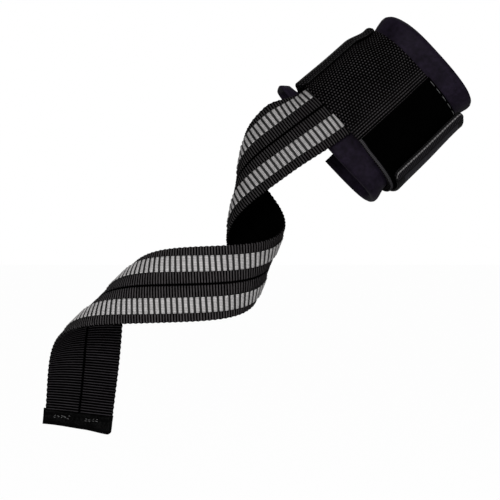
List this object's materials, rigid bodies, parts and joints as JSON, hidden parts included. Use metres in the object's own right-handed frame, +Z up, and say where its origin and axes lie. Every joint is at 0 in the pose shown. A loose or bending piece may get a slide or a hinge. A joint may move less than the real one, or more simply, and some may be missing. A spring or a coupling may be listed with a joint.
{
  "type": "wrist wrap",
  "caption": "Padded wrist wrap closed by a hook-and-loop tab, with a ribbed lifting strap that hangs from the palm side in loose twists",
  "frame": {"origin": "middle of the wrist hollow, where a wrist holds the wrap", "axes": "the picture's camera looks along +Y; +Z is up; the forearm leaves the cuff up and to +X; the strap hangs down to -X"},
  "size_m": [0.2264, 0.0816, 0.2184],
  "materials": {
    "neoprene": "matte",
    "band_webbing": "matte",
    "loop_pile": "matte",
    "strap_webbing": "satin",
    "grip_rubber": "matte",
    "hem_tape": "satin"
  },
  "bodies": {
    "root": {"cuff_pad": "neoprene", "palm_band": "band_webbing", "loop_panel": "loop_pile", "closing_tab": "band_webbing", "grip_strap": "strap_webbing", "grip_stripe_upper": "grip_rubber", "grip_stripe_lower": "grip_rubber", "strap_end_hem": "hem_tape"}
  },
  "joints": []
}
